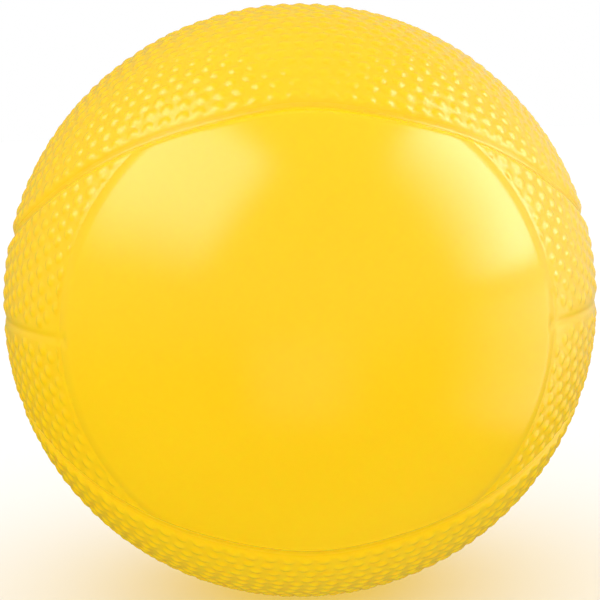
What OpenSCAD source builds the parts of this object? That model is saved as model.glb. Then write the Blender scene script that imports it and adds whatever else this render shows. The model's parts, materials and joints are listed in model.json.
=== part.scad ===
// Squeeze ball in the pattern of a miniature basketball: a hollow soft-vinyl
// skin with moulded channels and a smooth round imprint panel in front, and a
// two-piece needle valve pressed into a boss at the back.
//
// Frame: origin at the ball's centre, +Z up, the imprint panel faces -Y and
// the valve faces +Y.  All sizes in millimetres, all angles in degrees.

/* [Ball] */
// Outside diameter of the ball, over its grain
ball_d = 100; // [90:1:120]
// Thickness of the vinyl skin
skin_t = 2.2; // [1.8:0.1:3]

/* [Channels] */
// Width of a moulded channel where it opens on the skin
channel_w = 2.8; // [2:0.1:4]
// Depth of a moulded channel, below the tops of the grain
channel_depth = 0.8; // [0.5:0.05:1]
// Depth of the level channel, the faintest of them
level_depth = 0.5; // [0.4:0.05:0.8]
// Latitude of a curved rib channel at the front and back of the ball
rib_lat_front = 40.5; // [36:0.5:46]
// Latitude of a curved rib channel at the left and right of the ball
rib_lat_side = 14.5; // [11:0.5:16]
// How far the rib runs above the plain cosine rule, half way between the two
rib_shoulder = 4; // [0:0.5:6]
// How far the rib rises above that rule at the middle of the front and back
rib_crest = 2; // [0:0.5:2.5]
// Longitude, to each side of the middle, within which it rises so
rib_crest_angle = 17; // [15:1:20]

/* [Imprint panel] */
// Half angle of the smooth round imprint panel, seen from the ball's centre
panel_half_angle = 45.5; // [42:0.5:47]
// Width of the shallow border that sets the panel off from the grain
border_w = 2.5; // [2:0.1:4]
// Depth of that border, below the panel and the tops of the grain
border_depth = 0.3; // [0.2:0.05:0.4]

/* [Valve] */
// Outside diameter of the boss inside the skin that grips the valve
boss_d = 14; // [12:0.5:16]
// Length of the boss, from the outside of the ball inwards
boss_l = 9; // [8:0.5:10]
// Diameter of the valve housing's stem, and of the hole in the boss
stem_d = 8; // [7:0.5:8.5]
// Diameter of the valve housing's outer flange
flange_d = 10; // [9.5:0.5:11]
// Thickness of the outer flange
flange_t = 1.2; // [1:0.1:1.5]
// Diameter of the collar that locks the housing behind the boss
collar_d = 10; // [9:0.5:11]
// Length of the collar
collar_t = 1.5; // [1:0.1:2]
// Diameter of the rubber core's body
core_d = 4.6; // [4:0.1:5]
// Diameter of the rubber core's head
core_head_d = 6; // [5.5:0.1:6.5]
// Thickness of the rubber core's head
core_head_t = 0.8; // [0.6:0.1:1]
// Diameter of the guide hole that takes an inflating needle
needle_hole_d = 2.6; // [2.4:0.1:2.8]
// Depth of the guide hole, below which the core is solid and seals itself
needle_hole_l = 5; // [4:0.5:6]
// Depth of the cone that leads the needle into the guide hole
lead_in = 0.4; // [0.2:0.1:0.6]

/* [Hidden] */
$fn = 96;

ball_r = ball_d / 2;
inner_r = ball_r - skin_t;
// How far a cutting tool reaches past the skin.
past = 3;

// A channel is the bite of a round tool: the tool's radius, and the radius of
// its centre's path around the ball.
function bite_r(w, depth) = (pow(w / 2, 2) + pow(depth, 2)) / (2 * depth);
tool_r = bite_r(channel_w, channel_depth);
tool_orbit = ball_r - channel_depth + tool_r;

// A rib's latitude at longitude a, which is counted from the front of the ball.
rib_mean = (rib_lat_front + rib_lat_side) / 2;
rib_swing = (rib_lat_front - rib_lat_side) / 2;
function rib_lat(a) = rib_mean + rib_swing * cos(2 * a) + rib_shoulder * (1 - cos(4 * a)) / 2
    + rib_crest * exp(-pow(sin(a) / sin(rib_crest_angle), 2));

// The path of a rib's tool, and rings of a round section square to that path.
// No ring falls in the planes between front and back or left and right.
rib_rings = 80;
rib_sides = 12;
function rib_point(i, up) =
    let (a = (i + 0.5) * 360 / rib_rings, lat = up * rib_lat(a))
    tool_orbit * [cos(lat) * sin(a), -cos(lat) * cos(a), sin(lat)];
function unit(v) = v / norm(v);
function rib_ring(i, up) =
    let (middle = rib_point(i, up),
         out = unit(middle),
         side = cross(unit(rib_point(i + 1, up) - rib_point(i - 1, up)), out))
    [for (k = [0 : rib_sides - 1])
        let (t = 360 * (k + 0.5) / rib_sides)
        middle + tool_r * (cos(t) * side + sin(t) * out)];

// The panel's border runs at this angle, and ends in the ribs at this height.
border_angle = panel_half_angle + asin(border_w / 2 / ball_r);
border_end = [for (a = [20 : 0.5 : 70])
    if (cos(rib_lat(a)) * cos(a) < cos(border_angle)) ball_r * sin(rib_lat(a))][0];

// The valve's levels, as distances from the ball's centre along its axis.
valve_face = ball_r - channel_depth;
boss_end = ball_r - boss_l;
valve_end = boss_end - collar_t;

// Tool of a curved rib channel: the upper one for up = 1, the lower for -1.
module rib_tool(up) {
    points = [for (i = [0 : rib_rings - 1]) each rib_ring(i, up)];
    faces = [for (i = [0 : rib_rings - 1], k = [0 : rib_sides - 1])
        let (a = i * rib_sides, b = ((i + 1) % rib_rings) * rib_sides, n = (k + 1) % rib_sides)
        [a + n, b + n, b + k, a + k]];
    polyhedron(points, faces);
}

// Tool of a channel of this depth along a great circle, in the XY plane.
module great_circle_tool(depth) {
    r = bite_r(channel_w, depth);
    rotate_extrude()
        translate([ball_r - depth + r, 0])
            circle(r = r, $fn = 32);
}

// Tool of the border round the imprint panel, from rib to rib at each end.
module border_tool() {
    r = bite_r(border_w, border_depth);
    orbit = ball_r - border_depth + r;
    intersection() {
        rotate([90, 0, 0])
            rotate_extrude()
                translate(orbit * [sin(border_angle), cos(border_angle)])
                    circle(r = r, $fn = 32);
        cube([2 * ball_d, 2 * ball_d, 2 * border_end], center = true);
    }
}

// Every channel: the level one, which stops at the panel's border, the one
// that the two halves meet in, and the two curved ribs.
module channels() {
    difference() {
        great_circle_tool(level_depth);
        translate([-ball_d, -ball_d - ball_r * cos(border_angle), -ball_r])
            cube([2 * ball_d, ball_d, ball_d]);
    }
    rotate([90, 0, 0])
        great_circle_tool(channel_depth);
    for (up = [1, -1])
        rib_tool(up);
}

// Half of the hollow ball, turned to face -Y for toward = 1 and +Y for -1.
module half_shell(toward) {
    rotate([90 * toward, 0, 0])
        rotate_extrude()
            intersection() {
                difference() {
                    circle(r = ball_r, $fn = 180);
                    circle(r = inner_r, $fn = 180);
                }
                square(ball_d);
            }
}

// A cylinder on the valve's axis between two distances from the ball's centre.
module along_valve(from, to, d) {
    rotate([-90, 0, 0])
        translate([0, 0, from])
            cylinder(d = d, h = to - from);
}

// Front half of the skin, with the smooth imprint panel.
module front_skin() {
    color("gold")
        difference() {
            half_shell(1);
            channels();
            border_tool();
        }
}

// Rear half of the skin, with the boss that the valve is pressed into.
module rear_skin() {
    color("gold")
        difference() {
            union() {
                half_shell(-1);
                along_valve(boss_end, ball_r - skin_t / 2, boss_d);
            }
            channels();
            along_valve(boss_end - past, ball_r + past, stem_d);
            along_valve(valve_face - flange_t, ball_r + past, flange_d);
        }
}

// Plastic housing: a stem between an outer flange and a locking collar.
module valve_housing() {
    color("khaki")
        difference() {
            union() {
                along_valve(valve_end, valve_face, stem_d);
                along_valve(valve_face - flange_t, valve_face, flange_d);
                along_valve(valve_end, boss_end, collar_d);
            }
            along_valve(valve_end - past, valve_face + past, core_d);
            along_valve(valve_face - core_head_t, valve_face + past, core_head_d);
        }
}

// Rubber core: a headed plug with the needle's blind guide hole.
module valve_core() {
    color("dimgray")
        difference() {
            union() {
                along_valve(valve_end, valve_face, core_d);
                along_valve(valve_face - core_head_t, valve_face, core_head_d);
            }
            along_valve(valve_face - needle_hole_l, valve_face + past, needle_hole_d);
            rotate([-90, 0, 0])
                translate([0, 0, valve_face - lead_in])
                    cylinder(d1 = needle_hole_d, d2 = needle_hole_d + 4 * lead_in, h = 2 * lead_in);
        }
}

front_skin();
rear_skin();
valve_housing();
valve_core();
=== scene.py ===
"""A hollow vinyl stress ball with a pebbled skin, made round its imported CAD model."""

import json
import math

import bmesh
import bpy
import numpy as np
from bpy.props import FloatProperty, FloatVectorProperty, IntProperty, PointerProperty
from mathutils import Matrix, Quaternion, Vector, kdtree
from mathutils.geometry import delaunay_2d_cdt


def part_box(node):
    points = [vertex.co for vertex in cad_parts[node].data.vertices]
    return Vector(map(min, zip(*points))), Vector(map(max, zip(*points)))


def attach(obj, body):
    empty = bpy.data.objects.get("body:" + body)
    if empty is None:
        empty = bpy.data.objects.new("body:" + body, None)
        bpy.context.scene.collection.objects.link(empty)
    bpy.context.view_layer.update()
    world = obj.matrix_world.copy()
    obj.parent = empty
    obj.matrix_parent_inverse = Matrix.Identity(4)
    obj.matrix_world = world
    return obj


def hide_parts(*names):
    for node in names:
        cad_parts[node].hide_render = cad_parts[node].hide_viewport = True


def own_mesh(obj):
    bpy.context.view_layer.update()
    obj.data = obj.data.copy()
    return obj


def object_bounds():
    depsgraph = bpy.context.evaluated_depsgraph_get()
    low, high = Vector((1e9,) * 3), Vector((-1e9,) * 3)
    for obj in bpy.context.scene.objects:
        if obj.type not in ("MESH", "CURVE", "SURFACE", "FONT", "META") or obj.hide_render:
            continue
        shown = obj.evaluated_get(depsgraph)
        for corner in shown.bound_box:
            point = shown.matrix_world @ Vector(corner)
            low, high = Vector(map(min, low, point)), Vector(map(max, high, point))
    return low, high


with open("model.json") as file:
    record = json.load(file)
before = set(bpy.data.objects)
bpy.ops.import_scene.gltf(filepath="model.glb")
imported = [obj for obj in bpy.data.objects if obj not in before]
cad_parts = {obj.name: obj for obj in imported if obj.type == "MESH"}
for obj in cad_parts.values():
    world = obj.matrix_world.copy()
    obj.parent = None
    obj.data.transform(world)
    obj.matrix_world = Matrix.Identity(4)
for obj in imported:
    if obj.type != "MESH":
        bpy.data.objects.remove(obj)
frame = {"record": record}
CAD_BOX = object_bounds()

bl_info = {
    "name": "Stress ball",
    "version": (1, 0, 0),
    "blender": (4, 5, 0),
    "location": "View3D > Sidebar > Stress ball",
    "description": "Builds a hollow vinyl squeeze ball with a pebbled skin, channels and a valve",
    "category": "Object",
}

MOUNTS = {m["name"]: m for m in frame["record"]["mounts"]}
BALL_RADIUS = MOUNTS["palm_hold"]["pos_m"][1]
HOUSING_LOW, HOUSING_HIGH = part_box("valve_housing")
CORE_LOW, CORE_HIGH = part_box("valve_core")
NEEDLE_RADIUS = MOUNTS["needle_bore"]["dims"]["r_mm"] / 1000


# Sizes and colours


def length(name, text, default, top=0.2):
    limits = {"default": default, "min": 0, "max": top, "precision": 5}
    return FloatProperty(
        name=name, description=text, subtype="DISTANCE", unit="LENGTH", **limits
    )


def turn(name, text, degrees):
    return FloatProperty(
        name=name,
        description=text,
        default=math.radians(degrees),
        subtype="ANGLE",
        unit="ROTATION",
    )


def share(name, text, default, top=1.0):
    return FloatProperty(
        name=name, description=text, default=default, min=0, max=top, precision=4
    )


def tint(name, text, default):
    limits = {"default": default, "size": 3, "min": 0, "max": 1}
    return FloatVectorProperty(name=name, description=text, subtype="COLOR", **limits)


class BallSkinSizes(bpy.types.PropertyGroup):
    """Sizes of the skin: its wall, its channels and its smooth panel"""

    radius: length("Ball radius", "From the centre to the tops of the grain", BALL_RADIUS)
    wall: length("Wall", "Thickness of the skin from the grain tops", 0.0022)
    channel_width: length("Channel width", "Width of a channel at the grain tops", 0.0032)
    channel_depth: length("Channel depth", "Depth of a channel's floor", 0.0009)
    level_depth: length("Level channel depth", "Depth of the level channel's floor", 0.0005)
    rib_front: turn("Rib height, front", "Latitude of a curved channel in front", 40.5)
    rib_side: turn("Rib height, side", "Latitude of a curved channel at the sides", 14.5)
    rib_shoulder: turn("Rib shoulder", "How far a curved channel bulges between", 4)
    rib_crest: turn("Rib crest", "How far it rises above that at front and rear", 2)
    rib_crest_angle: turn("Rib crest angle", "Angle to each side within which it rises", 17)
    panel_angle: turn("Panel half angle", "Angle from the front to the panel's edge", 45)
    panel_roll: length("Panel roll-off", "Width of the panel's rounded side edge", 0.0026)
    panel_shoulder: length(
        "Panel shoulder", "Where the panel starts to fall to a curved channel", 0.0013
    )
    panel_drop: length("Panel drop", "Width of that fall", 0.0006)
    border_depth: length("Border depth", "Depth of the border round the panel", 0.00034)
    border_rise: length("Border rise", "Width over which it rises to the grain", 0.0005)
    panel_corner: length("Panel corner", "Rounding of the panel's four corners", 0.0025)
    level_end: turn("Level channel end", "Where the level channel stops", 47.4)


class BallGrainSizes(bpy.types.PropertyGroup):
    """Sizes of the pebbles that cover the skin"""

    relief: length("Relief", "Height of a pebble over the base", 0.00028)
    foot: length("Pebble radius", "Radius of a pebble at its foot", 0.00118)
    pitch: length("Pitch", "Distance of pebbles along a row", 0.0028)
    row: length("Row distance", "Distance between rows", 0.00242)
    first_row: length("First row", "Distance of the first row from a channel", 0.00215)
    keep_off: length("Keep off", "Nearest a pebble comes to a channel", 0.0021)
    scatter: length("Scatter", "How unevenly pebbles sit in their rows", 0.00007)
    start_angle: turn("Grain start", "Angle from the front where pebbles begin", 48.7)
    valve_land: length("Valve land", "Radius of the smooth ring round the valve", 0.0076)
    seed: IntProperty(name="Seed", description="Seed of the unevenness", default=11)


class BallValveSizes(bpy.types.PropertyGroup):
    """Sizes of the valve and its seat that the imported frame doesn't give"""

    stem: length("Stem radius", "Radius of the housing's stem", 0.004)
    flange: length("Flange", "Thickness of the outer flange", 0.0012)
    collar: length("Collar", "Thickness of the locking collar", 0.0015)
    boss: length("Boss radius", "Radius of the boss inside the skin", 0.007)
    core: length("Core radius", "Radius of the rubber plug", 0.0023)
    core_head: length("Core head", "Thickness of the plug's head", 0.0008)
    needle_depth: length("Needle hole", "Depth of the blind guide hole", 0.005)
    lead_in: length("Lead-in", "Depth of the hole's flared mouth", 0.0004)
    play: length("Play", "Gap between the seat and the flange", 0.00008)
    edge: length("Edge", "Rounding of moulded edges", 0.00018)


class BallFinishes(bpy.types.PropertyGroup):
    """Colours and gloss of the skin and the valve"""

    vinyl: tint("Vinyl", "Colour of the pebble tops and the panel", (0.95, 0.6, 0.006))
    # painted shade: a slightly darker vinyl that stands in for the shade down in the channels and
    # between pebbles
    vinyl_painted_shade: tint("Vinyl, channels", "Colour down in the channels", (0.95, 0.59, 0.004))
    vinyl_gloss: share("Panel roughness", "Roughness of the smooth panel", 0.2)
    grain_gloss: share("Grain roughness", "Roughness between the pebbles", 0.28)
    plastic: tint("Valve plastic", "Colour of the valve's housing", (0.86, 0.52, 0.05))
    rubber: tint("Valve rubber", "Colour of the valve's plug", (0.025, 0.025, 0.026))


class BallStageSizes(bpy.types.PropertyGroup):
    """Camera, floor and lights"""

    camera_distance: length("Camera distance", "From the ball's centre", 0.25, 5)
    camera_side: turn("Camera side", "How far the camera stands to the left", 2)
    camera_height: turn("Camera height", "How far up the camera stands", 8)
    camera_roll: turn("Camera roll", "How far the camera leans", 1.6)
    camera_field: turn("Field of view", "Angle that the camera takes in", 23.28)
    floor: tint("Floor", "Colour of the floor", (0.8, 0.8, 0.79))
    backdrop: tint("Backdrop", "Colour round the floor", (1.0, 1.0, 1.0))
    tent: share("Tent", "Strength of the even light", 1.33, 3)


GROUPS = {
    "ball_skin": BallSkinSizes,
    "ball_grain": BallGrainSizes,
    "ball_valve": BallValveSizes,
    "ball_finishes": BallFinishes,
    "ball_stage": BallStageSizes,
}


# Picking and shaping in edit mode


def deselect():
    if bpy.context.object and bpy.context.object.mode != "OBJECT":
        bpy.ops.object.mode_set(mode="OBJECT")
    bpy.ops.object.select_all(action="DESELECT")


def take(*objects):
    """Selects only these objects, and makes the first the active one."""
    deselect()
    for o in objects:
        o.select_set(True)
    bpy.context.view_layer.objects.active = objects[0]
    return objects[0]


def edit(o):
    take(o)
    bpy.ops.object.mode_set(mode="EDIT")
    bpy.ops.mesh.select_mode(type="VERT")
    bpy.ops.mesh.select_all(action="DESELECT")


def pick(o, test, borders=False):
    """In edit mode, selects the vertices that test(co) is true for, or only border edges."""
    mesh = bmesh.from_edit_mesh(o.data)
    if borders:
        bpy.ops.mesh.select_mode(type="EDGE")
        for e in mesh.edges:
            e.select_set(e.is_boundary and all(test(v.co) for v in e.verts))
    else:
        for v in mesh.verts:
            v.select_set(bool(test(v.co)))
    mesh.select_flush_mode()
    bmesh.update_edit_mesh(o.data)


def object_mode():
    bpy.ops.object.mode_set(mode="OBJECT")


def turned_piece(name, profile, steps):
    """A shape spun about the Y axis from a profile of (radius, y) points."""
    mesh = bpy.data.meshes.new(name)
    mesh.from_pydata(
        [(r, y, 0) for r, y in profile], [(i, i + 1) for i in range(len(profile) - 1)], []
    )
    o = bpy.data.objects.new(name, mesh)
    bpy.context.scene.collection.objects.link(o)
    edit(o)
    bpy.ops.mesh.select_all(action="SELECT")
    bpy.ops.mesh.spin(
        steps=steps, angle=math.tau, center=(0, 0, 0), axis=(0, 1, 0), dupli=False
    )
    bpy.ops.mesh.select_all(action="SELECT")
    bpy.ops.mesh.remove_doubles(threshold=1e-6)
    bpy.ops.mesh.normals_make_consistent(inside=False)
    object_mode()
    return o


def bevelled(o, width, segments):
    angle = math.radians(30)
    take(o)
    bevel = o.modifiers.new("rounded_edges", "BEVEL")
    bevel.width = width
    bevel.segments = segments
    bevel.limit_method = "ANGLE"
    bevel.angle_limit = angle
    bevel.harden_normals = True
    bpy.ops.object.modifier_apply(modifier=bevel.name)
    bpy.ops.object.shade_smooth_by_angle(angle=angle)
    return o


# The skin's pattern, on unit vectors from the ball's centre

GROOVE_FLOOR = 0.00015  # rounding of a channel's floor
LIP = 0.00016  # rounding where a channel meets the skin
PANEL_CROWN = 1.6  # 1 is a straight slope at the panel's edge; more bends it
DOME_POWER = 1.5  # 0.5 is half a ball; more rounds a pebble's foot
GRAIN_FADE = 0.00015  # width over which the pebbles end at a border
SEAT_DEPTH = 0.00055  # how far the skin dips to the valve's flange
SEAT_RISE = 0.0011  # width over which it rises from there
SEAT_EDGE = HOUSING_HIGH.x
SEAT_PLAY = 1e-4  # gap between the flange and the wall of its seat


def smoother(a, b, width):
    """The larger of a and b, with the corner between them rounded."""
    h = np.clip(0.5 + (a - b) / (2 * width), 0, 1)
    return b + (a - b) * h + width * h * (1 - h)


def smooth(x):
    x = np.clip(x, 0, 1)
    return x * x * (3 - 2 * x)


def direction(lon, lat):
    """Longitude is counted from the front, latitude from the level channel."""
    return np.stack(
        [np.sin(lon) * np.cos(lat), -np.cos(lon) * np.cos(lat), np.sin(lat)], -1
    )


def unit(v):
    return v / np.linalg.norm(v, axis=-1, keepdims=True)


def rib_latitude(skin, lon):
    mean = (skin.rib_front + skin.rib_side) / 2
    swing = (skin.rib_front - skin.rib_side) / 2
    crest = skin.rib_crest * np.exp(-((np.sin(lon) / math.sin(skin.rib_crest_angle)) ** 2))
    bulge = skin.rib_shoulder * (1 - np.cos(4 * lon)) / 2
    return mean + swing * np.cos(2 * lon) + bulge + crest


def rib_distance(skin, p):
    """Distance to the nearer curved channel, positive towards the top or bottom."""
    up = p * [1, 1, 0] + np.abs(p) * [0, 0, 1]
    lon = np.arctan2(up[:, 0], -up[:, 1])
    above = np.arcsin(np.clip(up[:, 2], -1, 1)) > rib_latitude(skin, lon)
    best, step, reach = lon, math.radians(5), 12
    rows = np.arange(len(p))
    for _ in range(5):
        tries = best[:, None] + step * np.arange(-reach, reach + 1)
        gaps = ((direction(tries, rib_latitude(skin, tries)) - up[:, None]) ** 2).sum(-1)
        nearest = gaps.argmin(1)
        best, gap = tries[rows, nearest], gaps[rows, nearest]
        step, reach = step / 4, 4
    return skin.radius * np.sqrt(gap) * np.where(above, 1, -1)


def places(skin, p):
    """Distances along the ball to each thing that shapes the skin there."""
    arc = lambda x: skin.radius * np.arccos(np.clip(x, -1, 1))
    return {
        "rib": rib_distance(skin, p),
        "level": skin.radius * np.arcsin(np.clip(np.abs(p[:, 2]), 0, 1)),
        "parting": skin.radius * np.arcsin(np.clip(np.abs(p[:, 1]), 0, 1)),
        "front": arc(-p[:, 1]),
        "valve": arc(p[:, 1]),
    }


def panel_share(skin, at):
    """Below 0 on the flat of the panel, and above 1 off it."""
    side = (at["front"] - skin.radius * skin.panel_angle) / skin.panel_roll
    top = (skin.panel_shoulder + at["rib"]) / skin.panel_drop
    return smoother(side, top, skin.panel_corner / skin.panel_roll)


def groove(skin, gap, depth):
    """Depth of a channel at a distance from its middle: straight walls, a narrow floor."""
    slope = depth / skin.channel_width * 2
    return depth - slope * (np.sqrt(gap**2 + GROOVE_FLOOR**2) - GROOVE_FLOOR)


def grained(skin, grain, at):
    """How much of a pebble's height stands at a place, from 0 to 1."""
    start = smooth((at["front"] - skin.radius * grain.start_angle) / GRAIN_FADE + 0.5)
    on_cap = smooth(at["rib"] / GRAIN_FADE + 0.5)
    off_valve = smooth((at["valve"] - grain.valve_land) / GRAIN_FADE + 0.5)
    return np.maximum(start, on_cap) * off_valve


def skin_depth(skin, grain, p, pebbles, own):
    """Depth of the skin's surface under the grain tops. own is each point's pebble."""
    at = places(skin, p)
    begin = skin.radius * grain.start_angle
    rise = smooth((at["front"] - begin) / skin.border_rise + 1)
    rise = np.maximum(rise, at["rib"] > 0)
    base = skin.border_depth + (grain.relief - skin.border_depth) * rise
    base = base * np.clip(panel_share(skin, at), 0, 1) ** PANEL_CROWN
    gap = skin.radius * np.linalg.norm(p - pebbles["at"][own], axis=1)
    dome = np.clip(1 - (gap / pebbles["foot"][own]) ** 2, 0, 1) ** DOME_POWER
    dome *= grain.relief * pebbles["height"][own] * grained(skin, grain, at)
    base = base - np.minimum(dome, base)
    from_seat = (at["valve"] - SEAT_EDGE - SEAT_PLAY) / SEAT_RISE
    land = SEAT_DEPTH + (grain.relief - SEAT_DEPTH) * smooth(from_seat)
    base = np.where(at["valve"] < grain.valve_land, np.maximum(base, land), base)
    short = np.maximum(skin.radius * skin.level_end - at["front"], 0)
    channels = np.maximum(
        groove(skin, at["rib"], skin.channel_depth),
        np.maximum(
            groove(skin, np.hypot(at["level"], short), skin.level_depth),
            groove(skin, at["parting"], skin.channel_depth),
        ),
    )
    channels = np.where(at["valve"] < SEAT_EDGE + 1e-3, 0, channels)
    return smoother(base, channels, LIP)


def nearest_pebble(pebbles, p):
    return np.array([pebbles["tree"].find(q)[1] for q in p])


def tree_of(points):
    tree = kdtree.KDTree(len(points))
    for i, q in enumerate(points):
        tree.insert(q, i)
    tree.balance()
    return tree


# Where the pebbles sit

ROW_LIMIT = 24  # rows laid on each side of a curved channel
FULL_SPACING = 0.0026  # pebbles nearer than this push each other apart
PUSH = 0.3
SETTLING_ROUNDS = 8
FIRST_GAP, LAST_GAP = 0.0019, 0.00195  # nearest that two pebbles stay, before and after
HOLE = 0.00232  # distance from every pebble at which one more fits
HOLE_SPACING = 0.0023  # nearest that two such pebbles stay
HOLE_TRIES = 60000
FIRST_KEEP = 0.8  # share of keep_off that a laid pebble needs; settling does the rest
OVERHANG = 0.6  # share of its radius by which a pebble may overhang the border
FOOT_SPREAD, HEIGHT_SPREAD = 0.05, 0.16


def walk(points, count, phase=0.0):
    """count points evenly along a closed line of points."""
    ring = np.vstack([points, points[:1]])
    travel = np.concatenate([[0], np.linalg.norm(np.diff(ring, axis=0), axis=1).cumsum()])
    stops = (np.arange(count) + phase) / count * travel[-1]
    return np.stack([np.interp(stops, travel, ring[:, k]) for k in range(3)], 1), travel[-1]


def rib_line(skin, up, samples=1440):
    """A curved channel's middle line, and the direction across it away from the level."""
    lon = np.linspace(-math.pi, math.pi, samples, endpoint=False)
    line = direction(lon, rib_latitude(skin, lon))
    along = unit(np.roll(line, -1, 0) - np.roll(line, 1, 0))
    across = unit(np.cross(line, along))
    flip = [1, 1, up]
    return line * flip, across * flip


def beside(skin, line, across, gap):
    return np.cos(gap / skin.radius) * line + np.sin(gap / skin.radius) * across


def pebble_rows(skin, grain):
    """Rows of pebbles parallel to the curved channels, on both sides of each."""
    found = []
    for up in (1, -1):
        line, across = rib_line(skin, up)
        for toward in (1, -1):
            for k in range(ROW_LIMIT):
                gap = grain.first_row + k * grain.row
                row = beside(skin, line, across, toward * gap)
                run = walk(row, 2)[1] * skin.radius
                count = max(3, round(run / grain.pitch))
                spots = unit(walk(row, count, 0.5 * (k % 2) + 0.13 * k * up)[0])
                at = rib_distance(skin, spots)
                own = (np.sign(at) == toward) & (np.abs(np.abs(at) - gap) < 0.03 * gap + 5e-5)
                own &= np.sign(spots[:, 2]) == up
                found.append(spots[own])
    return np.concatenate(found)


def clear_of_channels(skin, grain, p, margin):
    at = places(skin, p)
    keep = margin * grain.keep_off
    level_open = at["front"] < skin.radius * skin.level_end - keep
    return (
        (np.abs(at["rib"]) > keep)
        & ((at["level"] > keep) | level_open)
        & (at["parting"] > keep)
    )


def pushed_off(skin, grain, p):
    """Moves pebbles that stand too near a straight channel out to its first row."""
    limit = math.sin(grain.keep_off / skin.radius)
    for axis in (1, 2):
        close = np.abs(p[:, axis]) < limit
        p[close, axis] = np.where(p[close, axis] < 0, -limit, limit)
    return unit(p)


def settle(skin, grain, p):
    """Lets pebbles that stand too close push each other apart."""
    want = FULL_SPACING / skin.radius
    for _ in range(SETTLING_ROUNDS):
        tree, push = tree_of(p), np.zeros_like(p)
        for i, q in enumerate(p):
            for other, j, gap in tree.find_range(q, want):
                if j != i and gap > 1e-9:
                    push[i] += (p[i] - p[j]) * (want - gap) / gap * PUSH
        p = unit(p + push)
        rib = rib_distance(skin, p)
        short = np.clip(grain.keep_off - np.abs(rib), 0, None) / skin.radius
        tilt = 1e-4
        lift = unit(p + np.array([0, 0, tilt]) * np.sign(p[:, 2:3]))
        rise = (rib_distance(skin, lift) - rib) / (tilt * skin.radius)
        p = p + np.array([0, 0, 1]) * (
            np.sign(p[:, 2]) * np.sign(rib) * short / np.clip(np.abs(rise), 0.5, None)
        )[:, None]
        p = pushed_off(skin, grain, unit(p))
    return p


def fill_holes(skin, grain, side, p, rng):
    """Adds pebbles where the rows leave a hole wide enough for one."""
    tries = unit(rng.normal(size=(HOLE_TRIES, 3)))
    tries = tries[tries[:, 1] * side > 0]
    tries = tries[clear_of_channels(skin, grain, tries, 1.0)]
    at = places(skin, tries)
    tries = tries[(at["rib"] > 0) | (at["front"] > skin.radius * grain.start_angle)]
    tree = tree_of(p)
    gaps = np.array([tree.find(q)[2] for q in tries]) * skin.radius
    return np.concatenate([p, thinned(skin, tries[gaps > HOLE], HOLE_SPACING)])


def lay_pebbles(skin, grain, side):
    """The pebbles of one half: side is -1 in front and 1 behind."""
    rng = np.random.default_rng(grain.seed)
    p = pebble_rows(skin, grain)
    p = p[clear_of_channels(skin, grain, p, FIRST_KEEP)]
    p = p[p[:, 1] * side > 0]
    at = places(skin, p)
    p = p[(at["rib"] > 0) | (at["front"] > skin.radius * skin.panel_angle)]
    p = settle(skin, grain, thinned(skin, p, FIRST_GAP))
    p = fill_holes(skin, grain, side, p, rng)
    p = p[p[:, 1] * side > 0]
    p = thinned(skin, settle(skin, grain, p), LAST_GAP)
    at = places(skin, p)
    edge = skin.radius * grain.start_angle - grain.foot * OVERHANG
    p = p[((at["rib"] > 0) | (at["front"] > edge)) & (at["valve"] > grain.valve_land)]
    p = unit(p + rng.normal(size=p.shape) * grain.scatter / skin.radius)
    return {
        "at": p,
        "foot": grain.foot * (1 + FOOT_SPREAD * rng.uniform(-1, 1, len(p))),
        "height": 1 - HEIGHT_SPREAD * rng.uniform(0, 1, len(p)),
        "tree": tree_of(p),
    }


def thinned(skin, p, gap):
    """Drops every later point that stands closer than gap to a kept one."""
    tree, keep = tree_of(p), np.ones(len(p), bool)
    for i, q in enumerate(p):
        if keep[i]:
            for _, j, _ in tree.find_range(q, gap / skin.radius):
                if j > i:
                    keep[j] = False
    return p[keep]


# The net of points that the skin's surface is drawn over

PARTING_STEPS = 320
SEAT_STEPS = 64
WELD = 2e-5  # points this close become one where the valve's seat joins the skin
SEAT_ROWS = (0.0002, 0.0006, 0.0011, 0.0018)
ROW_SPACING = 0.00095  # distance of points along a row
ROWS = (0, 0.0003, 0.0006, 0.0009, 0.0011, 0.0013, 0.0016)
PANEL_ROWS = (0.00175, 0.00195, 0.0023, 0.003)
ROLL_ROWS = (-0.0004, 0, 0.0004, 0.0008, 0.0012, 0.0016, 0.002, 0.0024)
RISE_ROWS = (-0.0005, -0.00034, -0.0002, -0.00009, 0.00011)
ROLL_STEPS, RISE_STEPS = 236, 250
PANEL_SPACING = 0.0021
CORNER_SPACING = 0.0005
PEBBLE_RINGS = ((0.42, 6, 0.0), (0.76, 9, 0.3), (1.0, 11, 0.0))  # radius, points, turn
CHANNEL_CLEAR = 0.00134  # pebbles' points stay this far from a channel's middle
ROW_GAP, PEBBLE_GAP = 0.00016, 0.00014  # nearest that points stand
LEVEL_LEAD = 0.0012  # rows begin this far ahead of the level channel's end
BAND = 0.0037  # a curved channel's rows reach this far to each side
BESIDE_PARTING = 0.00025  # nearest that other rows come to the parting line
BEHIND_BORDER = 0.0004
CORNER_STEPS = 9
NORMAL_STEP = 0.00007  # reach over which the surface's slope is taken
INNER_RINGS = 32


def tangents(p):
    east = unit(np.cross(p, np.where(np.abs(p[:, 1:2]) > 0.9, [[1.0, 0, 0]], [[0, 1.0, 0]])))
    return east, np.cross(p, east)


def parting_circle(gap, side, radius):
    around = np.arange(PARTING_STEPS) * math.tau / PARTING_STEPS
    a = gap / radius
    y = np.full(PARTING_STEPS, side * math.sin(a))
    return np.stack([np.cos(around) * math.cos(a), y, np.sin(around) * math.cos(a)], 1)


def polar_ring(front, angle, count, phase=0.0):
    """A ring of points round the front or the rear pole."""
    around = (np.arange(count) + phase) * math.tau / count
    y = np.full(count, -math.cos(angle) if front else math.cos(angle))
    return np.stack([np.sin(angle) * np.cos(around), y, np.sin(angle) * np.sin(around)], 1)


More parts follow.
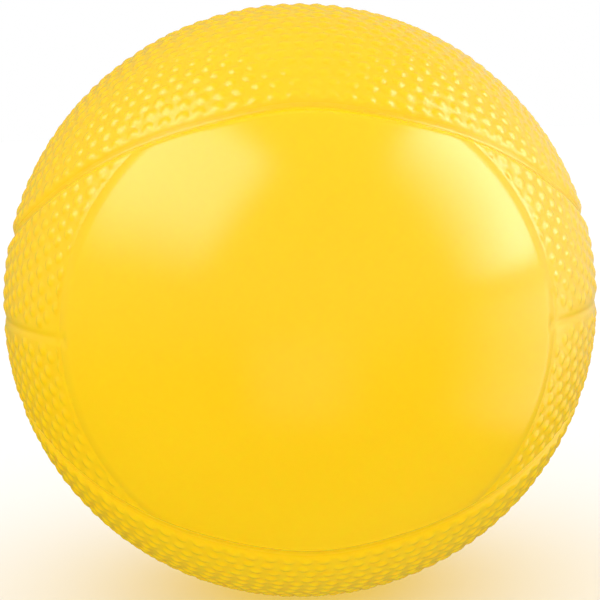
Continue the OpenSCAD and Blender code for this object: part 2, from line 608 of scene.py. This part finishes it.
def feature_points(skin, grain, side):
    """Rows of points along every channel and edge of one half, the important ones first."""
    radius = skin.radius
    sets = [parting_circle(gap, side, radius) for gap in ROWS]
    inner = []
    for up in (1, -1):
        line, across = rib_line(skin, up)
        count = round(walk(line, 2)[1] * radius / ROW_SPACING)
        middle, lean = unit(walk(line, count)[0]), unit(walk(across, count)[0])
        for gap in ROWS:
            for toward in (1, -1) if gap else (1,):
                inner.append(beside(skin, middle, lean, toward * gap))
        if side < 0:
            inner += [beside(skin, middle, lean, -gap) for gap in PANEL_ROWS]
    count = round(math.tau * radius / ROW_SPACING)
    lon = np.arange(count) / count * math.tau
    level_start = radius * skin.level_end - LEVEL_LEAD
    for gap in ROWS:
        for toward in (1, -1) if gap else (1,):
            row = direction(lon, np.full(count, toward * gap / radius))
            from_front = radius * np.arccos(np.clip(-row[:, 1], -1, 1))
            inner.append(row[from_front > level_start])
    begin = grain.start_angle * radius
    if side < 0:
        edge = skin.panel_angle * radius
        inner += [polar_ring(True, (edge + step) / radius, ROLL_STEPS) for step in ROLL_ROWS]
        inner += [polar_ring(True, (begin + step) / radius, RISE_STEPS) for step in RISE_ROWS]
    else:
        seat = SEAT_EDGE + SEAT_PLAY
        rim = math.asin(seat / (radius - SEAT_DEPTH))
        sets.insert(0, polar_ring(False, rim, SEAT_STEPS))
        for step in SEAT_ROWS:
            inner.append(polar_ring(False, (seat + step) / radius, SEAT_STEPS, 0.5))
    inner = np.concatenate(inner)
    at = places(skin, inner)
    by_rib, front = np.abs(at["rib"]), at["front"]
    # only the panel's side edge and its corners use the rings round the front
    on_ring = (front < begin + BEHIND_BORDER / 2) & (by_rib > BAND + 0.0003) & (at["rib"] < 0)
    wanted = on_ring | (by_rib < BAND) | (front > begin + BEHIND_BORDER)
    off_seat = at["valve"] > SEAT_EDGE + 0.0003
    off_parting = inner[:, 1] * side * radius > BESIDE_PARTING
    return np.concatenate(sets), inner[wanted & off_seat & off_parting]


def plain_points(skin, grain, side):
    """Points on the smooth panel in front, closer together at its four corners."""
    radius = skin.radius
    if side > 0:
        return np.zeros((0, 3))
    rings = [np.array([[0, -1.0, 0]])]
    for k in range(1, int(skin.panel_angle * radius / PANEL_SPACING) + 1):
        angle = k * PANEL_SPACING / radius
        count = max(6, round(math.tau * math.sin(angle) * radius / PANEL_SPACING))
        rings.append(polar_ring(True, angle, count, 0.5 * (k % 2)))
    reach = np.arange(-CORNER_STEPS, CORNER_STEPS + 1) * CORNER_SPACING
    for corner in (1, -1):
        for up in (1, -1):
            lon = np.array([corner_longitude(skin) * corner])
            middle = direction(lon, up * rib_latitude(skin, lon))
            east, north = tangents(middle)
            u, v = (g.ravel()[:, None] / radius for g in np.meshgrid(reach, reach))
            rings.append(unit(middle + u * east + v * north))
    p = np.concatenate(rings)
    at = places(skin, p)
    inside = (at["rib"] < -ROWS[-1]) & (at["front"] < radius * grain.start_angle - 0.0003)
    return p[inside]


def corner_longitude(skin):
    """Longitude where a curved channel meets the panel's edge."""
    lon = np.linspace(0, math.pi / 2, 900)
    line = direction(lon, rib_latitude(skin, lon))
    inside = -line[:, 1] > math.cos(skin.panel_angle)
    return lon[inside.argmin()]


def pebble_points(skin, grain, pebbles, side):
    """Each pebble's crown and three rings, left out where a channel cuts it."""
    middle = pebbles["at"]
    east, north = tangents(middle)
    sets = [middle]
    for part, count, phase in PEBBLE_RINGS:
        for k in range(count):
            a = (k + phase) * math.tau / count
            reach = (pebbles["foot"] * part / skin.radius)[:, None]
            sets.append(unit(middle + reach * (math.cos(a) * east + math.sin(a) * north)))
    p = np.concatenate(sets)
    own = np.tile(np.arange(len(middle)), len(sets))
    at = places(skin, p)
    clear = CHANNEL_CLEAR
    keep = (np.abs(at["rib"]) > clear) & (at["parting"] > clear + 0.0003)
    keep &= (at["level"] > clear) | (at["front"] < skin.radius * skin.level_end - clear)
    begin = skin.radius * grain.start_angle
    keep &= (at["rib"] > 0) | (at["front"] > begin + 0.00025)
    keep &= nearest_pebble(pebbles, p) == own
    return p[keep & (p[:, 1] * side > 0)]


def apart(skin, firm, loose, gap):
    """The loose points that stand clear of the firm ones and of each other."""
    everything = np.concatenate([firm, loose])
    tree, keep = tree_of(everything), np.ones(len(everything), bool)
    for i, q in enumerate(everything):
        if keep[i]:
            for _, j, _ in tree.find_range(q, gap / skin.radius):
                if j > max(i, len(firm) - 1):
                    keep[j] = False
    return everything[keep]


def skin_surface(skin, grain, pebbles, side):
    """Vertices, triangles, normals and relief of one half's outer surface."""
    first, second = feature_points(skin, grain, side)
    second = np.concatenate([second, plain_points(skin, grain, side)])
    shaped = apart(skin, first, second, ROW_GAP)
    rough = pebble_points(skin, grain, pebbles, side)
    tree = tree_of(shaped)
    rough = rough[[tree.find(q)[2] * skin.radius > PEBBLE_GAP for q in rough]]
    p = np.concatenate([shaped, rough])
    # seen from the opposite pole, the half lies flat, and circles stay circles
    flat = p[:, [0, 2]] / (1 + side * p[:, 1:2])
    net = delaunay_2d_cdt([Vector(q) for q in flat], [], [], 0, 1e-9)
    flat, faces = np.array(net[0]), np.array(net[2])
    far = (flat**2).sum(1)
    p = np.stack([2 * flat[:, 0], side * (1 - far), 2 * flat[:, 1]], 1)
    p = p / (1 + far)[:, None]
    own = nearest_pebble(pebbles, p)
    depth = lambda q: skin_depth(skin, grain, unit(q), pebbles, own)
    p[np.abs(p[:, 1]) < 1e-7, 1] = 0
    co = p * (skin.radius - depth(p))[:, None]
    if side > 0:
        furthest = skin.radius * np.arccos(p[faces][:, :, 1].min(1))
        faces = faces[furthest > SEAT_EDGE + 0.00025]
    edge = np.cross(co[faces[:, 1]] - co[faces[:, 0]], co[faces[:, 2]] - co[faces[:, 0]])
    inward = (edge * p[faces[:, 0]]).sum(1) < 0
    faces[inward] = faces[inward][:, ::-1]
    east, north = tangents(p)
    step = NORMAL_STEP / skin.radius
    slope = [
        (depth(p + step * t) - depth(p - step * t)) / (2 * step * skin.radius)
        for t in (east, north)
    ]
    normals = unit(p + slope[0][:, None] * east + slope[1][:, None] * north)
    relief = 1 - depth(p) / skin.channel_depth
    used = np.unique(faces)
    where = np.zeros(len(p), int)
    where[used] = np.arange(len(used))
    return co[used], where[faces], normals[used], relief[used]


def skin_piece(name, skin, grain, side):
    """One half's outer surface as an object, with its relief as an attribute."""
    pebbles = lay_pebbles(skin, grain, side)
    co, faces, normals, relief = skin_surface(skin, grain, pebbles, side)
    mesh = bpy.data.meshes.new(name)
    mesh.from_pydata(co.tolist(), [], faces.tolist())
    mesh.attributes.new("relief", "FLOAT", "POINT").data.foreach_set(
        "value", relief.astype(np.float32)
    )
    bend = mesh.attributes.new("surface_normal", "FLOAT_VECTOR", "POINT")
    bend.data.foreach_set("vector", normals.astype(np.float32).ravel())
    o = bpy.data.objects.new(name, mesh)
    bpy.context.scene.collection.objects.link(o)
    print(name, len(pebbles["at"]), "pebbles", len(faces), "triangles")
    return o


def inner_wall(skin, side):
    """The smooth inner wall of one half, open at the parting line."""
    deselect()
    bpy.ops.mesh.primitive_uv_sphere_add(
        segments=SEAT_STEPS,
        ring_count=INNER_RINGS,
        radius=skin.radius - skin.wall,
        rotation=(math.pi / 2, 0, 0),
    )
    o = bpy.context.object
    bpy.ops.object.transform_apply(location=False, rotation=True, scale=False)
    edit(o)
    pick(o, lambda co: co.y * side < -1e-5)
    bpy.ops.mesh.delete(type="VERT")
    object_mode()
    return o


def join_at_rim(outer, inner):
    """Joins the two walls, and closes the rim between them."""
    take(outer, inner)
    bpy.ops.object.join()
    edit(outer)
    pick(outer, lambda co: abs(co.y) < 1e-6, borders=True)
    bpy.ops.mesh.bridge_edge_loops()
    object_mode()


def values(rows, name, width=1, kind=np.int32):
    """One field of a mesh's vertices, corners or faces, as an array."""
    flat = np.zeros(len(rows) * width, kind)
    rows.foreach_get(name, flat)
    return flat.reshape(-1, width) if width > 1 else flat


def use_surface_normals(o, skin):
    """Shades the outer surface with the pattern's own normals."""
    mesh = o.data
    take(o)
    bpy.ops.object.shade_smooth_by_angle(angle=math.radians(40))
    normals = values(mesh.attributes["surface_normal"].data, "vector", 3, np.float32)
    corner = values(mesh.loops, "vertex_index")
    start = values(mesh.polygons, "loop_start")
    total = values(mesh.polygons, "loop_total")
    centre = values(mesh.polygons, "center", 3, np.float32)
    has_normal = (normals**2).sum(1) > 0.5
    outer = np.minimum.reduceat(has_normal[corner].astype(int), start).astype(bool)
    lowest = skin.radius - skin.channel_depth * 1.1
    outer &= (np.linalg.norm(centre, axis=1) > lowest) & (total == 3)
    face = np.repeat(np.arange(len(start)), total)
    custom = np.where(outer[face][:, None], normals[corner], 0)
    mesh.normals_split_custom_set(custom.tolist())
    mesh.attributes.remove(mesh.attributes["surface_normal"])


def finish_skin(o, skin):
    """Turns the faces outwards, and stops if the skin isn't closed."""
    edit(o)
    bpy.ops.mesh.select_all(action="SELECT")
    bpy.ops.mesh.normals_make_consistent(inside=False)
    object_mode()
    mesh = bmesh.new()
    mesh.from_mesh(o.data)
    open_edges = sum(not e.is_manifold for e in mesh.edges)
    mesh.free()
    if open_edges:
        raise RuntimeError(f"{o.name} has {open_edges} open edges")
    use_surface_normals(o, skin)


# Finishes

FINE_GRAIN = 34.0  # how much finer the texture is than the tone
LOW_RELIEF, HIGH_RELIEF = 0.25, 0.95  # where the channels' painted shade ends and the tops' own colour begins; the gloss changes over the same span


def plastic_mottle():
    """Uneven tone and fine moulding texture, for every moulded part of the ball."""
    made = bpy.data.node_groups.get("plastic_mottle")
    if made:
        return made
    g = bpy.data.node_groups.new("plastic_mottle", "ShaderNodeTree")
    sockets = (
        ("Scale", "INPUT", 60.0),
        ("Strength", "INPUT", 0.5),
        ("Tone", "OUTPUT", None),
        ("Texture", "OUTPUT", None),
    )
    for name, way, value in sockets:
        s = g.interface.new_socket(name, in_out=way, socket_type="NodeSocketFloat")
        if value is not None:
            s.default_value = value
    node = g.nodes.new

    def sum_node(operation, number=None):
        made = node("ShaderNodeMath")
        made.operation = operation
        if number is not None:
            made.inputs[1].default_value = number
        return made

    inside, out = node("NodeGroupInput"), node("NodeGroupOutput")
    place = node("ShaderNodeTexCoord")
    cloud, fine = node("ShaderNodeTexNoise"), node("ShaderNodeTexNoise")
    cloud.inputs["Detail"].default_value = 4.0
    fine.inputs["Detail"].default_value = 2.0
    finer = sum_node("MULTIPLY", FINE_GRAIN)
    centred, scaled = sum_node("SUBTRACT", 0.5), sum_node("MULTIPLY")
    back = sum_node("ADD", 0.5)
    back.use_clamp = True
    link = g.links.new
    link(place.outputs["Object"], cloud.inputs["Vector"])
    link(place.outputs["Object"], fine.inputs["Vector"])
    link(inside.outputs["Scale"], cloud.inputs["Scale"])
    link(inside.outputs["Scale"], finer.inputs[0])
    link(finer.outputs[0], fine.inputs["Scale"])
    link(cloud.outputs["Fac"], centred.inputs[0])
    link(centred.outputs[0], scaled.inputs[0])
    link(inside.outputs["Strength"], scaled.inputs[1])
    link(scaled.outputs[0], back.inputs[0])
    link(back.outputs[0], out.inputs["Tone"])
    link(fine.outputs["Fac"], out.inputs["Texture"])
    return g


def moulded(name, light, deep, rough, bump, scale=60.0, strength=1.0):
    """A moulded plastic or rubber: its tone and roughness vary, its surface is finely textured."""
    m = bpy.data.materials.new(name)
    m.use_nodes = True
    nodes, link = m.node_tree.nodes, m.node_tree.links.new
    shader = nodes["Principled BSDF"]
    mottle = nodes.new("ShaderNodeGroup")
    mottle.node_tree = plastic_mottle()
    mottle.inputs["Scale"].default_value = scale
    mottle.inputs["Strength"].default_value = strength
    colour = nodes.new("ShaderNodeMix")
    colour.data_type = "RGBA"
    colour.inputs["A"].default_value = (*deep, 1)
    colour.inputs["B"].default_value = (*light, 1)
    link(mottle.outputs["Tone"], colour.inputs["Factor"])
    link(colour.outputs["Result"], shader.inputs["Base Color"])
    gloss = nodes.new("ShaderNodeMapRange")
    gloss.inputs["To Min"].default_value = rough[0]
    gloss.inputs["To Max"].default_value = rough[1]
    link(mottle.outputs["Tone"], gloss.inputs["Value"])
    link(gloss.outputs["Result"], shader.inputs["Roughness"])
    surface = nodes.new("ShaderNodeBump")
    surface.inputs["Strength"].default_value = 1.0
    surface.inputs["Distance"].default_value = bump
    link(mottle.outputs["Texture"], surface.inputs["Height"])
    link(surface.outputs["Normal"], shader.inputs["Normal"])
    return m


def vinyl_skin(finishes):
    """The ball's vinyl: darker with painted shade, and less glossy, down in the channels and
    between pebbles.
    """
    m = bpy.data.materials.get("vinyl_skin_glossy")
    if m:
        return m
    m = moulded(
        "vinyl_skin_glossy",
        tuple(finishes.vinyl),
        tuple(c * 0.97 for c in finishes.vinyl),
        rough=(finishes.vinyl_gloss * 0.9, finishes.vinyl_gloss * 1.1),
        bump=0.0000022,
        scale=45.0,
        strength=1.6,
    )
    nodes, link = m.node_tree.nodes, m.node_tree.links.new
    shader = nodes["Principled BSDF"]
    relief = nodes.new("ShaderNodeAttribute")
    relief.attribute_name = "relief"
    high = nodes.new("ShaderNodeMapRange")
    high.inputs["From Min"].default_value = LOW_RELIEF
    high.inputs["From Max"].default_value = HIGH_RELIEF
    link(relief.outputs["Fac"], high.inputs["Value"])
    light = shader.inputs["Base Color"].links[0].from_socket
    colour = nodes.new("ShaderNodeMix")
    colour.data_type = "RGBA"
    # painted shade: low relief mixes in the slightly darker vinyl for the shade of the channels
    # and the gaps between pebbles
    colour.inputs["A"].default_value = (*finishes.vinyl_painted_shade, 1)
    link(high.outputs["Result"], colour.inputs["Factor"])
    link(light, colour.inputs["B"])
    link(colour.outputs["Result"], shader.inputs["Base Color"])
    fine = shader.inputs["Roughness"].links[0].from_socket
    gloss = nodes.new("ShaderNodeMix")
    gloss.inputs["A"].default_value = finishes.grain_gloss
    link(high.outputs["Result"], gloss.inputs["Factor"])
    link(fine, gloss.inputs["B"])
    link(gloss.outputs["Result"], shader.inputs["Roughness"])
    shader.inputs["IOR"].default_value = 1.5
    shader.inputs["Subsurface Weight"].default_value = 0.8
    shader.inputs["Subsurface Radius"].default_value = (1.0, 0.6, 0.15)
    shader.inputs["Subsurface Scale"].default_value = 0.0015
    return m


def hand_over(o, material, body, anchor, *nodes, slot):
    """Gives a finished piece its material and body, and hides the CAD parts that it stands for."""
    o.data.materials.clear()
    o.data.materials.append(material)
    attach(o, body)
    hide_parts(*nodes)
    if anchor:
        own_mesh(o)
    return o


# One operator for each piece


class BALL_OT_front_skin(bpy.types.Operator):
    """Builds the front half of the skin, with the smooth panel"""

    bl_idname = "ball.front_skin"
    bl_label = "Front half of the skin"

    def execute(self, context):
        skin, grain = context.scene.ball_skin, context.scene.ball_grain
        o = skin_piece("front_half_skin", skin, grain, -1)
        join_at_rim(o, inner_wall(skin, -1))
        finish_skin(o, skin)
        vinyl = vinyl_skin(context.scene.ball_finishes)
        pole = (0, -skin.radius, 0)
        hand_over(o, vinyl, "front", pole, "front_skin", slot="vinyl_skin")
        return {"FINISHED"}


class BALL_OT_rear_skin(bpy.types.Operator):
    """Builds the rear half of the skin, with the seat and boss of the valve"""

    bl_idname = "ball.rear_skin"
    bl_label = "Rear half of the skin"

    def execute(self, context):
        skin, grain = context.scene.ball_skin, context.scene.ball_grain
        valve = context.scene.ball_valve
        o = skin_piece("rear_half_skin", skin, grain, 1)
        wall = inner_wall(skin, 1)
        inner_radius = skin.radius - skin.wall
        boss_y = math.sqrt(inner_radius**2 - valve.boss**2)
        ring_turn = math.pi / INNER_RINGS * 2
        ring, ring_y = (inner_radius * f(ring_turn) for f in (math.sin, math.cos))
        around_axis = lambda co: math.hypot(co.x, co.z)
        edit(wall)
        pick(wall, lambda co: co.y > 0 and around_axis(co) < ring * 0.64)
        bpy.ops.mesh.delete(type="VERT")
        hole = lambda co: co.y > 0 and around_axis(co) < ring * 1.12
        pick(wall, hole, borders=True)
        widen = valve.boss / ring
        bpy.ops.transform.resize(value=(widen, 1, widen), center_override=(0, 0, 0))
        bpy.ops.transform.translate(value=(0, boss_y - ring_y, 0))
        object_mode()
        seat_y = HOUSING_HIGH.y - valve.flange
        boss_end = HOUSING_LOW.y + valve.collar
        seat = SEAT_EDGE + SEAT_PLAY
        land = skin.radius - SEAT_DEPTH
        bore = valve.stem + valve.play
        profile = [
            (seat, math.sqrt(land**2 - seat**2)),
            (seat, seat_y),
            (bore, seat_y),
            (bore, boss_end),
            (valve.boss, boss_end),
            (valve.boss, boss_y),
        ]
        lining = turned_piece("valve_seat", profile, SEAT_STEPS)
        join_at_rim(o, wall)
        take(o, lining)
        bpy.ops.object.join()
        edit(o)
        near_seat = grain.valve_land - 1e-4
        pick(o, lambda co: co.y > boss_end - 1e-3 and around_axis(co) < near_seat)
        bpy.ops.mesh.remove_doubles(threshold=WELD)
        object_mode()
        finish_skin(o, skin)
        vinyl = vinyl_skin(context.scene.ball_finishes)
        pole = (0, skin.radius, 0)
        hand_over(o, vinyl, "rear", pole, "rear_skin", slot="vinyl_skin")
        return {"FINISHED"}


class BALL_OT_valve_housing(bpy.types.Operator):
    """Builds the plastic housing: a stem between an outer flange and a locking collar"""

    bl_idname = "ball.valve_housing"
    bl_label = "Valve housing"

    def execute(self, context):
        valve, face = context.scene.ball_valve, HOUSING_HIGH.y
        flange, low = HOUSING_HIGH.x, HOUSING_LOW.y
        head, head_y = CORE_HIGH.x, face - valve.core_head
        profile = [
            (valve.core, low),
            (flange, low),
            (flange, low + valve.collar),
            (valve.stem, low + valve.collar),
            (valve.stem, face - valve.flange),
            (flange, face - valve.flange),
            (flange, face - 0.00022),  # a sloping rim, a flat and a fine groove
            (flange - 0.0007, face),
            (flange - 0.0012, face),
            (flange - 0.00135, face - 0.00015),
            (flange - 0.0016, face - 0.00015),
            (head + 0.00003, face - 0.00004),
            (head, head_y),
            (valve.core, head_y),
            (valve.core, low),
        ]
        o = bevelled(turned_piece("valve_housing_moulding", profile, 72), valve.edge / 3, 2)
        plastic = moulded(
            "valve_plastic_satin",
            tuple(context.scene.ball_finishes.plastic),
            tuple(c * 0.93 for c in context.scene.ball_finishes.plastic),
            rough=(0.34, 0.44),
            bump=0.000004,
            scale=180.0,
            strength=1.4,
        )
        hand_over(o, plastic, "rear", None, "valve_housing", slot="valve_plastic")
        return {"FINISHED"}


class BALL_OT_valve_core(bpy.types.Operator):
    """Builds the rubber plug with the needle's blind guide hole"""

    bl_idname = "ball.valve_core"
    bl_label = "Valve core"

    def execute(self, context):
        valve, face = context.scene.ball_valve, CORE_HIGH.y
        head, low = CORE_HIGH.x, CORE_LOW.y
        mouth = NEEDLE_RADIUS + valve.lead_in
        loose = 0.00002  # the plug stands this clear of the housing
        slim, head = valve.core - loose, head - loose
        profile = [
            (0, low),
            (slim, low),
            (slim, face - valve.core_head),
            (head, face - valve.core_head),
            (head, face - 0.00012),
            (head - 0.00028, face - 0.00002),
            (mouth + 0.0002, face),
            (mouth, face - 0.00003),
            (NEEDLE_RADIUS, face - valve.lead_in),
            (NEEDLE_RADIUS, face - valve.needle_depth),
            (0, face - valve.needle_depth),
        ]
        o = bevelled(turned_piece("valve_core_plug", profile, 64), valve.edge / 3, 2)
        rubber = moulded(
            "valve_rubber_matt",
            tuple(context.scene.ball_finishes.rubber),
            tuple(c * 0.7 for c in context.scene.ball_finishes.rubber),
            rough=(0.55, 0.72),
            bump=0.000008,
            scale=240.0,
            strength=1.5,
        )
        hand_over(o, rubber, "rear", None, "valve_core", slot="valve_rubber")
        return {"FINISHED"}


# The stage: its floor, lights and camera

LIGHT_DISTANCE = 0.6
# name, azimuth and elevation, width and height, power, and how much of the light fades
# at its left, right, low and high edges
SOFTBOXES = (
    ("right_softbox", 75, 31, (0.66, 0.62), 6.8, (0.7, 0.3, 0.12, 0.2)),
    ("left_softbox", -57, 37, (0.82, 0.7), 5.8, (0.3, 0.25, 0.5, 0.2)),
    ("right_sheet", 84, -18, (0.8, 0.5), 1.35, (0.6, 0, 0.3, 0.2)),
    ("low_fill", 0, -28, (0.6, 0.5), 0.5, (0.4, 0.4, 0.4, 0.4)),
)
SHEEN_RISE = (-0.45, 0.1), (0.03, 0.24)  # from this height to that, and its strength
SHEEN_SIDE = (0.7, 0.55, -0.45)  # the way in which the sheen grows
SHEEN_GROWTH = (0.15, 0.9), (1, 3.2)


def toward(stage, azimuth, elevation):
    """A direction given from the camera: azimuth to its right, elevation up from its axis."""
    side, height = stage.camera_side, stage.camera_height
    forward = Vector(
        (-math.sin(side) * math.cos(height), -math.cos(side) * math.cos(height), math.sin(height))
    )
    right = Vector((math.cos(side), -math.sin(side), 0))
    up = right.cross(-forward)
    a, e = math.radians(azimuth), math.radians(elevation)
    return (forward * math.cos(a) + right * math.sin(a)) * math.cos(e) + up * math.sin(e)


def smooth_step(tree, source, span, levels=(0, 1)):
    """Goes smoothly from one level to the other while the source crosses the span."""
    step = tree.nodes.new("ShaderNodeMapRange")
    step.interpolation_type = "SMOOTHSTEP"
    names = ("From Min", "From Max", "To Min", "To Max")
    for name, value in zip(names, (*span, *levels)):
        step.inputs[name].default_value = value
    tree.links.new(source, step.inputs["Value"])
    return step.outputs["Result"]


def product(tree, first, second):
    """Multiplies two values in a node tree."""
    times = tree.nodes.new("ShaderNodeMath")
    times.operation = "MULTIPLY"
    tree.links.new(first, times.inputs[0])
    tree.links.new(second, times.inputs[1])
    return times.outputs[0]


def softbox(stage, name, azimuth, elevation, size, power, fades):
    """Sets a rectangular light that faces the ball and fades towards its edges."""
    data = bpy.data.lights.new(name, "AREA")
    data.shape, data.size, data.size_y = "RECTANGLE", *size
    data.energy = power
    lamp = bpy.data.objects.new(name, data)
    out = toward(stage, azimuth, elevation)
    lamp.location = out * LIGHT_DISTANCE
    lamp.rotation_mode = "QUATERNION"
    lamp.rotation_quaternion = (-out).to_track_quat("-Z", "Y")
    bpy.context.scene.collection.objects.link(lamp)
    lamp.visible_diffuse = False
    data.use_nodes = True
    tree = data.node_tree
    where = tree.nodes.new("ShaderNodeNewGeometry")
    split = tree.nodes.new("ShaderNodeSeparateXYZ")
    tree.links.new(where.outputs["Parametric"], split.inputs[0])
    level = None
    for edge, fade in enumerate(fades):
        if not fade:
            continue
        axis, far = divmod(edge, 2)
        span = (1, 1 - fade) if far else (0, fade)
        step = smooth_step(tree, split.outputs[axis], span)
        level = step if level is None else product(tree, level, step)
    tree.links.new(level, tree.nodes["Emission"].inputs["Strength"])


class BALL_OT_stage(bpy.types.Operator):
    """Builds the floor, the lights and the camera"""

    bl_idname = "ball.stage"
    bl_label = "Stage"

    def execute(self, context):
        stage, scene = context.scene.ball_stage, context.scene
        self.floor(stage)
        self.surround(stage, scene)
        for light in SOFTBOXES:
            softbox(stage, *light)
        self.camera(stage, scene)
        scene.view_settings.view_transform = "Standard"
        return {"FINISHED"}

    def floor(self, stage):
        deselect()
        bpy.ops.mesh.primitive_circle_add(
            vertices=96, radius=3, fill_type="NGON", location=(0, 0, CAD_BOX[0].z)
        )
        o = bpy.context.object
        o.name = "pale_floor"
        m = bpy.data.materials.new("pale_floor")
        m.use_nodes = True
        shader = m.node_tree.nodes["Principled BSDF"]
        shader.inputs["Base Color"].default_value = (*stage.floor, 1)
        shader.inputs["Roughness"].default_value = 0.6
        shader.inputs["Specular IOR Level"].default_value = 0
        o.data.materials.append(m)
        o.visible_glossy = False
        o.visible_diffuse = False

    def surround(self, stage, scene):
        """A pale tent: even light, a dim sheen that grows behind the ball to the right."""
        world = bpy.data.worlds.new("pale_surround")
        world.use_nodes = True
        tree = world.node_tree
        nodes, link = tree.nodes, tree.links.new
        tent = nodes["Background"]
        sheen, seen = (nodes.new("ShaderNodeBackground") for _ in range(2))
        for shade in (tent, sheen, seen):
            shade.inputs["Color"].default_value = (*stage.backdrop, 1)
        tent.inputs["Strength"].default_value = stage.tent
        where = nodes.new("ShaderNodeTexCoord").outputs["Generated"]
        split = nodes.new("ShaderNodeSeparateXYZ")
        beyond = nodes.new("ShaderNodeVectorMath")
        beyond.operation = "DOT_PRODUCT"
        beyond.inputs[1].default_value = SHEEN_SIDE
        link(where, split.inputs[0])
        link(where, beyond.inputs[0])
        rise = smooth_step(tree, split.outputs["Z"], *SHEEN_RISE)
        growth = smooth_step(tree, beyond.outputs["Value"], *SHEEN_GROWTH)
        link(product(tree, rise, growth), sheen.inputs["Strength"])
        path = nodes.new("ShaderNodeLightPath")
        last = tent.outputs[0]
        for ray, shade in (("Is Glossy Ray", sheen), ("Is Camera Ray", seen)):
            both = nodes.new("ShaderNodeMixShader")
            link(path.outputs[ray], both.inputs["Fac"])
            link(last, both.inputs[1])
            link(shade.outputs[0], both.inputs[2])
            last = both.outputs[0]
        link(last, nodes["World Output"].inputs["Surface"])
        scene.world = world

    def camera(self, stage, scene):
        data = bpy.data.cameras.new("camera")
        data.sensor_width = 36
        data.lens = 18 / math.tan(stage.camera_field / 2)
        data.clip_start, data.clip_end = 0.01, 20
        cam = bpy.data.objects.new("camera", data)
        out = toward(stage, 0, 0)
        cam.location = out * stage.camera_distance
        cam.rotation_mode = "QUATERNION"
        cam.rotation_quaternion = (-out).to_track_quat("-Z", "Y") @ Quaternion(
            (0, 0, 1), -stage.camera_roll
        )
        scene.collection.objects.link(cam)
        scene.camera = cam


class BALL_PT_pieces(bpy.types.Panel):
    """Lists the pieces of the ball and the stage"""

    bl_idname = "BALL_PT_pieces"
    bl_label = "Stress ball"
    bl_space_type = "VIEW_3D"
    bl_region_type = "UI"
    bl_category = "Stress ball"

    def draw(self, context):
        for operator in OPERATORS:
            self.layout.operator(operator.bl_idname)
        for name, group in GROUPS.items():
            box = self.layout.box()
            for field in group.__annotations__:
                box.prop(getattr(context.scene, name), field)


OPERATORS = (
    BALL_OT_front_skin,
    BALL_OT_rear_skin,
    BALL_OT_valve_housing,
    BALL_OT_valve_core,
    BALL_OT_stage,
)
CLASSES = (*GROUPS.values(), *OPERATORS, BALL_PT_pieces)


def register():
    for c in CLASSES:
        bpy.utils.register_class(c)
    for name, group in GROUPS.items():
        setattr(bpy.types.Scene, name, PointerProperty(type=group))


def unregister():
    for name in GROUPS:
        delattr(bpy.types.Scene, name)
    for c in reversed(CLASSES):
        bpy.utils.unregister_class(c)


def main():
    register()
    bpy.ops.ball.front_skin()
    bpy.ops.ball.rear_skin()
    bpy.ops.ball.valve_housing()
    bpy.ops.ball.valve_core()
    bpy.ops.ball.stage()


if __name__ == "__main__":
    main()
